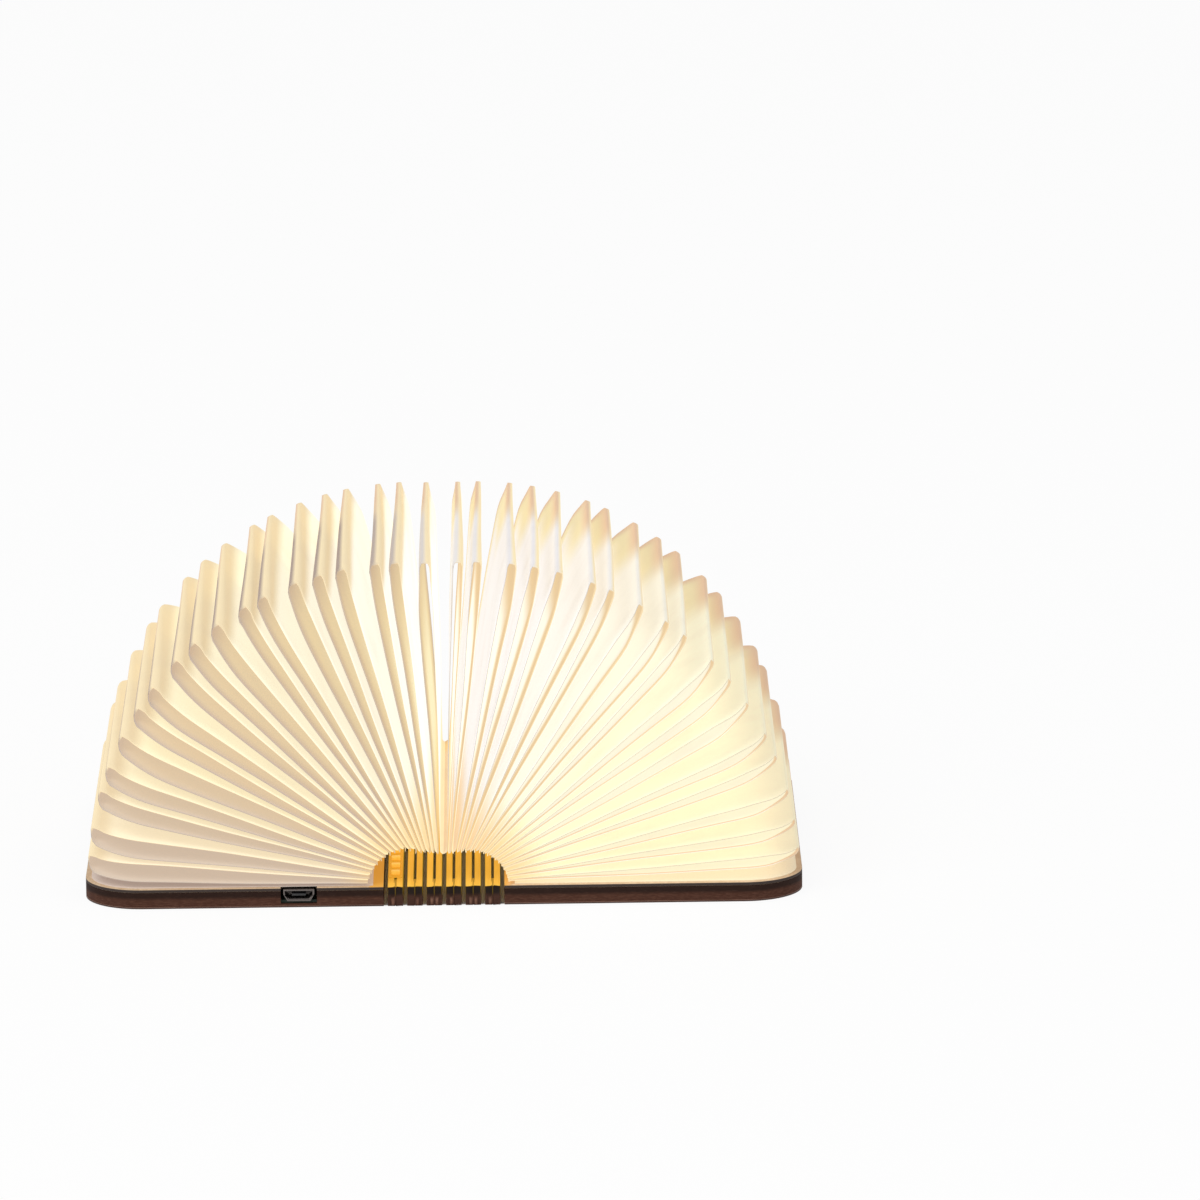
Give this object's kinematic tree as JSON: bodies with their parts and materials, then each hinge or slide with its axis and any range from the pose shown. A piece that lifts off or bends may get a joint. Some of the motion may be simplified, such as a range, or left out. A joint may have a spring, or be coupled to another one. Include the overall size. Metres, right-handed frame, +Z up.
{
  "type": "folding book lamp",
  "caption": "Rechargeable book lamp: wooden covers on a slatted folding spine open flat and fan a pleated paper shade over an LED strip.",
  "frame": {"origin": "on the table, under the middle of the spine, with the lamp open and flat", "axes": "+X across the open book towards the right cover, +Y from the front edge with the charging inlet to the back edge, +Z up"},
  "size_m": [0.185, 0.122, 0.0878],
  "materials": {
    "burnt_board": "matte",
    "walnut": "satin",
    "lining": "matte",
    "paper": "matte",
    "battery_foil": "satin",
    "lead": "matte",
    "board_green": "satin",
    "chip": "matte",
    "inlet_steel": "satin",
    "inlet_plastic": "matte",
    "magnet": "polished",
    "strip_film": "satin",
    "led": "gloss"
  },
  "bodies": {
    "left_cover": {"left_cover_board": "burnt_board", "left_cover_veneer": "walnut", "left_cover_liner": "lining", "left_end_sheet": "paper", "battery": "battery_foil", "battery_leads": "lead", "control_board": "board_green", "board_parts": "chip", "usb_shell": "inlet_steel", "usb_tongue": "inlet_plastic", "left_magnets": "magnet"},
    "slat_1": {"spine_slat_1": "burnt_board", "led_strip": "strip_film", "leds": "led"},
    "slat_2": {"spine_slat_2": "burnt_board"},
    "slat_3": {"spine_slat_3": "burnt_board"},
    "slat_4": {"spine_slat_4": "burnt_board"},
    "slat_5": {"spine_slat_5": "burnt_board"},
    "slat_6": {"spine_slat_6": "burnt_board"},
    "right_cover": {"right_cover_board": "burnt_board", "right_cover_veneer": "walnut", "right_cover_liner": "lining", "right_end_sheet": "paper", "right_magnets": "magnet"},
    "leaf_01": {"paper_leaf_01": "paper"},
    "leaf_02": {"paper_leaf_02": "paper"},
    "leaf_03": {"paper_leaf_03": "paper"},
    "leaf_04": {"paper_leaf_04": "paper"},
    "leaf_05": {"paper_leaf_05": "paper"},
    "leaf_06": {"paper_leaf_06": "paper"},
    "leaf_07": {"paper_leaf_07": "paper"},
    "leaf_08": {"paper_leaf_08": "paper"},
    "leaf_09": {"paper_leaf_09": "paper"},
    "leaf_10": {"paper_leaf_10": "paper"},
    "leaf_11": {"paper_leaf_11": "paper"},
    "leaf_12": {"paper_leaf_12": "paper"},
    "leaf_13": {"paper_leaf_13": "paper"},
    "leaf_14": {"paper_leaf_14": "paper"},
    "leaf_15": {"paper_leaf_15": "paper"},
    "leaf_16": {"paper_leaf_16": "paper"},
    "leaf_17": {"paper_leaf_17": "paper"},
    "leaf_18": {"paper_leaf_18": "paper"},
    "leaf_19": {"paper_leaf_19": "paper"},
    "leaf_20": {"paper_leaf_20": "paper"},
    "leaf_21": {"paper_leaf_21": "paper"},
    "leaf_22": {"paper_leaf_22": "paper"},
    "leaf_23": {"paper_leaf_23": "paper"},
    "leaf_24": {"paper_leaf_24": "paper"},
    "leaf_25": {"paper_leaf_25": "paper"},
    "leaf_26": {"paper_leaf_26": "paper"},
    "leaf_27": {"paper_leaf_27": "paper"},
    "leaf_28": {"paper_leaf_28": "paper"},
    "leaf_29": {"paper_leaf_29": "paper"},
    "leaf_30": {"paper_leaf_30": "paper"},
    "leaf_31": {"paper_leaf_31": "paper"},
    "leaf_32": {"paper_leaf_32": "paper"},
    "leaf_33": {"paper_leaf_33": "paper"},
    "leaf_34": {"paper_leaf_34": "paper"},
    "leaf_35": {"paper_leaf_35": "paper"},
    "leaf_36": {"paper_leaf_36": "paper"}
  },
  "joints": [
    {"name": "cover_turn", "type": "hinge", "parent": "leaf_18", "child": "right_cover", "pos_m": [0.00858, 0, 0.00468], "axis": [0, -1, 0], "range_deg": [0, 92.3]},
    {"name": "spine_fold_1", "type": "hinge", "parent": "left_cover", "child": "slat_1", "pos_m": [-0.015, 0, 0.0036], "axis": [0, -1, 0], "range_deg": [0, 15]},
    {"name": "spine_fold_2", "type": "hinge", "parent": "slat_1", "child": "slat_2", "pos_m": [-0.01, 0, 0.0036], "axis": [0, -1, 0], "range_deg": [0, 30]},
    {"name": "spine_fold_3", "type": "hinge", "parent": "slat_2", "child": "slat_3", "pos_m": [-0.005, 0, 0.0036], "axis": [0, -1, 0], "range_deg": [0, 30]},
    {"name": "spine_fold_4", "type": "hinge", "parent": "slat_3", "child": "slat_4", "pos_m": [0, 0, 0.0036], "axis": [0, -1, 0], "range_deg": [0, 30]},
    {"name": "spine_fold_5", "type": "hinge", "parent": "slat_4", "child": "slat_5", "pos_m": [0.005, 0, 0.0036], "axis": [0, -1, 0], "range_deg": [0, 30]},
    {"name": "spine_fold_6", "type": "hinge", "parent": "slat_5", "child": "slat_6", "pos_m": [0.01, 0, 0.0036], "axis": [0, -1, 0], "range_deg": [0, 30]},
    {"name": "leaf_turn_01", "type": "hinge", "parent": "left_cover", "child": "leaf_01", "pos_m": [-0.00893, 0, 0.00433], "axis": [0, -1, 0], "range_deg": [0, 2.79]},
    {"name": "leaf_turn_02", "type": "hinge", "parent": "left_cover", "child": "leaf_02", "pos_m": [-0.00893, 0, 0.00433], "axis": [0, -1, 0], "range_deg": [0, 7.78]},
    {"name": "leaf_turn_03", "type": "hinge", "parent": "left_cover", "child": "leaf_03", "pos_m": [-0.00893, 0, 0.00433], "axis": [0, -1, 0], "range_deg": [0, 14.47]},
    {"name": "leaf_turn_04", "type": "hinge", "parent": "left_cover", "child": "leaf_04", "pos_m": [-0.00893, 0, 0.00433], "axis": [0, -1, 0], "range_deg": [0, 18.68]},
    {"name": "leaf_turn_05", "type": "hinge", "parent": "left_cover", "child": "leaf_05", "pos_m": [-0.00893, 0, 0.00433], "axis": [0, -1, 0], "range_deg": [0, 24.71]},
    {"name": "leaf_turn_06", "type": "hinge", "parent": "left_cover", "child": "leaf_06", "pos_m": [-0.00893, 0, 0.00433], "axis": [0, -1, 0], "range_deg": [0, 30.36]},
    {"name": "leaf_turn_07", "type": "hinge", "parent": "left_cover", "child": "leaf_07", "pos_m": [-0.00893, 0, 0.00433], "axis": [0, -1, 0], "range_deg": [0, 34.54]},
    {"name": "leaf_turn_08", "type": "hinge", "parent": "left_cover", "child": "leaf_08", "pos_m": [-0.00893, 0, 0.00433], "axis": [0, -1, 0], "range_deg": [0, 41]},
    {"name": "leaf_turn_09", "type": "hinge", "parent": "left_cover", "child": "leaf_09", "pos_m": [-0.00893, 0, 0.00433], "axis": [0, -1, 0], "range_deg": [0, 45.28]},
    {"name": "leaf_turn_10", "type": "hinge", "parent": "left_cover", "child": "leaf_10", "pos_m": [-0.00893, 0, 0.00433], "axis": [0, -1, 0], "range_deg": [0, 50.19]},
    {"name": "leaf_turn_11", "type": "hinge", "parent": "left_cover", "child": "leaf_11", "pos_m": [-0.00893, 0, 0.00433], "axis": [0, -1, 0], "range_deg": [0, 56.04]},
    {"name": "leaf_turn_12", "type": "hinge", "parent": "left_cover", "child": "leaf_12", "pos_m": [-0.00893, 0, 0.00433], "axis": [0, -1, 0], "range_deg": [0, 59.56]},
    {"name": "leaf_turn_13", "type": "hinge", "parent": "left_cover", "child": "leaf_13", "pos_m": [-0.00893, 0, 0.00433], "axis": [0, -1, 0], "range_deg": [0, 65.28]},
    {"name": "leaf_turn_14", "type": "hinge", "parent": "left_cover", "child": "leaf_14", "pos_m": [-0.00893, 0, 0.00433], "axis": [0, -1, 0], "range_deg": [0, 69.8]},
    {"name": "leaf_turn_15", "type": "hinge", "parent": "left_cover", "child": "leaf_15", "pos_m": [-0.00893, 0, 0.00433], "axis": [0, -1, 0], "range_deg": [0, 73.63]},
    {"name": "leaf_turn_16", "type": "hinge", "parent": "left_cover", "child": "leaf_16", "pos_m": [-0.00893, 0, 0.00433], "axis": [0, -1, 0], "range_deg": [0, 79.46]},
    {"name": "leaf_turn_17", "type": "hinge", "parent": "left_cover", "child": "leaf_17", "pos_m": [-0.00893, 0, 0.00433], "axis": [0, -1, 0], "range_deg": [0, 82.85]},
    {"name": "leaf_turn_18", "type": "hinge", "parent": "left_cover", "child": "leaf_18", "pos_m": [-0.00893, 0, 0.00433], "axis": [0, -1, 0], "range_deg": [0, 87.7]},
    {"name": "leaf_turn_19", "type": "hinge", "parent": "right_cover", "child": "leaf_19", "pos_m": [0.00893, 0, 0.00433], "axis": [0, -1, 0], "range_deg": [-87.25, 0]},
    {"name": "leaf_turn_20", "type": "hinge", "parent": "right_cover", "child": "leaf_20", "pos_m": [0.00893, 0, 0.00433], "axis": [0, -1, 0], "range_deg": [-83.98, 0]},
    {"name": "leaf_turn_21", "type": "hinge", "parent": "right_cover", "child": "leaf_21", "pos_m": [0.00893, 0, 0.00433], "axis": [0, -1, 0], "range_deg": [-78.25, 0]},
    {"name": "leaf_turn_22", "type": "hinge", "parent": "right_cover", "child": "leaf_22", "pos_m": [0.00893, 0, 0.00433], "axis": [0, -1, 0], "range_deg": [-74.28, 0]},
    {"name": "leaf_turn_23", "type": "hinge", "parent": "right_cover", "child": "leaf_23", "pos_m": [0.00893, 0, 0.00433], "axis": [0, -1, 0], "range_deg": [-70.05, 0]},
    {"name": "leaf_turn_24", "type": "hinge", "parent": "right_cover", "child": "leaf_24", "pos_m": [0.00893, 0, 0.00433], "axis": [0, -1, 0], "range_deg": [-64.27, 0]},
    {"name": "leaf_turn_25", "type": "hinge", "parent": "right_cover", "child": "leaf_25", "pos_m": [0.00893, 0, 0.00433], "axis": [0, -1, 0], "range_deg": [-60.81, 0]},
    {"name": "leaf_turn_26", "type": "hinge", "parent": "right_cover", "child": "leaf_26", "pos_m": [0.00893, 0, 0.00433], "axis": [0, -1, 0], "range_deg": [-55.22, 0]},
    {"name": "leaf_turn_27", "type": "hinge", "parent": "right_cover", "child": "leaf_27", "pos_m": [0.00893, 0, 0.00433], "axis": [0, -1, 0], "range_deg": [-50.17, 0]},
    {"name": "leaf_turn_28", "type": "hinge", "parent": "right_cover", "child": "leaf_28", "pos_m": [0.00893, 0, 0.00433], "axis": [0, -1, 0], "range_deg": [-46.15, 0]},
    {"name": "leaf_turn_29", "type": "hinge", "parent": "right_cover", "child": "leaf_29", "pos_m": [0.00893, 0, 0.00433], "axis": [0, -1, 0], "range_deg": [-39.75, 0]},
    {"name": "leaf_turn_30", "type": "hinge", "parent": "right_cover", "child": "leaf_30", "pos_m": [0.00893, 0, 0.00433], "axis": [0, -1, 0], "range_deg": [-35.51, 0]},
    {"name": "leaf_turn_31", "type": "hinge", "parent": "right_cover", "child": "leaf_31", "pos_m": [0.00893, 0, 0.00433], "axis": [0, -1, 0], "range_deg": [-30.17, 0]},
    {"name": "leaf_turn_32", "type": "hinge", "parent": "right_cover", "child": "leaf_32", "pos_m": [0.00893, 0, 0.00433], "axis": [0, -1, 0], "range_deg": [-24.02, 0]},
    {"name": "leaf_turn_33", "type": "hinge", "parent": "right_cover", "child": "leaf_33", "pos_m": [0.00893, 0, 0.00433], "axis": [0, -1, 0], "range_deg": [-19.9, 0]},
    {"name": "leaf_turn_34", "type": "hinge", "parent": "right_cover", "child": "leaf_34", "pos_m": [0.00893, 0, 0.00433], "axis": [0, -1, 0], "range_deg": [-13.37, 0]},
    {"name": "leaf_turn_35", "type": "hinge", "parent": "right_cover", "child": "leaf_35", "pos_m": [0.00893, 0, 0.00433], "axis": [0, -1, 0], "range_deg": [-8.19, 0]},
    {"name": "leaf_turn_36", "type": "hinge", "parent": "right_cover", "child": "leaf_36", "pos_m": [0.00893, 0, 0.00433], "axis": [0, -1, 0], "range_deg": [-3.3, 0]}
  ],
  "couplings": [
    {"joint": "spine_fold_1", "follows": "cover_turn", "ratio": 0.16251},
    {"joint": "spine_fold_2", "follows": "cover_turn", "ratio": 0.32503},
    {"joint": "spine_fold_3", "follows": "cover_turn", "ratio": 0.32503},
    {"joint": "spine_fold_4", "follows": "cover_turn", "ratio": 0.32503},
    {"joint": "spine_fold_5", "follows": "cover_turn", "ratio": 0.32503},
    {"joint": "spine_fold_6", "follows": "cover_turn", "ratio": 0.32503},
    {"joint": "leaf_turn_01", "follows": "cover_turn", "ratio": 0.030249},
    {"joint": "leaf_turn_02", "follows": "cover_turn", "ratio": 0.084307},
    {"joint": "leaf_turn_03", "follows": "cover_turn", "ratio": 0.15674},
    {"joint": "leaf_turn_04", "follows": "cover_turn", "ratio": 0.20243},
    {"joint": "leaf_turn_05", "follows": "cover_turn", "ratio": 0.26774},
    {"joint": "leaf_turn_06", "follows": "cover_turn", "ratio": 0.32892},
    {"joint": "leaf_turn_07", "follows": "cover_turn", "ratio": 0.37417},
    {"joint": "leaf_turn_08", "follows": "cover_turn", "ratio": 0.44425},
    {"joint": "leaf_turn_09", "follows": "cover_turn", "ratio": 0.49056},
    {"joint": "leaf_turn_10", "follows": "cover_turn", "ratio": 0.5438},
    {"joint": "leaf_turn_11", "follows": "cover_turn", "ratio": 0.6072},
    {"joint": "leaf_turn_12", "follows": "cover_turn", "ratio": 0.6453},
    {"joint": "leaf_turn_13", "follows": "cover_turn", "ratio": 0.70727},
    {"joint": "leaf_turn_14", "follows": "cover_turn", "ratio": 0.75626},
    {"joint": "leaf_turn_15", "follows": "cover_turn", "ratio": 0.79773},
    {"joint": "leaf_turn_16", "follows": "cover_turn", "ratio": 0.86086},
    {"joint": "leaf_turn_17", "follows": "cover_turn", "ratio": 0.89762},
    {"joint": "leaf_turn_18", "follows": "cover_turn", "ratio": 0.95017},
    {"joint": "leaf_turn_19", "follows": "cover_turn", "ratio": -0.94524},
    {"joint": "leaf_turn_20", "follows": "cover_turn", "ratio": -0.90983},
    {"joint": "leaf_turn_21", "follows": "cover_turn", "ratio": -0.8478},
    {"joint": "leaf_turn_22", "follows": "cover_turn", "ratio": -0.80479},
    {"joint": "leaf_turn_23", "follows": "cover_turn", "ratio": -0.75891},
    {"joint": "leaf_turn_24", "follows": "cover_turn", "ratio": -0.6963},
    {"joint": "leaf_turn_25", "follows": "cover_turn", "ratio": -0.65883},
    {"joint": "leaf_turn_26", "follows": "cover_turn", "ratio": -0.59823},
    {"joint": "leaf_turn_27", "follows": "cover_turn", "ratio": -0.54351},
    {"joint": "leaf_turn_28", "follows": "cover_turn", "ratio": -0.49996},
    {"joint": "leaf_turn_29", "follows": "cover_turn", "ratio": -0.43067},
    {"joint": "leaf_turn_30", "follows": "cover_turn", "ratio": -0.38478},
    {"joint": "leaf_turn_31", "follows": "cover_turn", "ratio": -0.32685},
    {"joint": "leaf_turn_32", "follows": "cover_turn", "ratio": -0.26019},
    {"joint": "leaf_turn_33", "follows": "cover_turn", "ratio": -0.21565},
    {"joint": "leaf_turn_34", "follows": "cover_turn", "ratio": -0.14481},
    {"joint": "leaf_turn_35", "follows": "cover_turn", "ratio": -0.08868},
    {"joint": "leaf_turn_36", "follows": "cover_turn", "ratio": -0.035728}
  ]
}
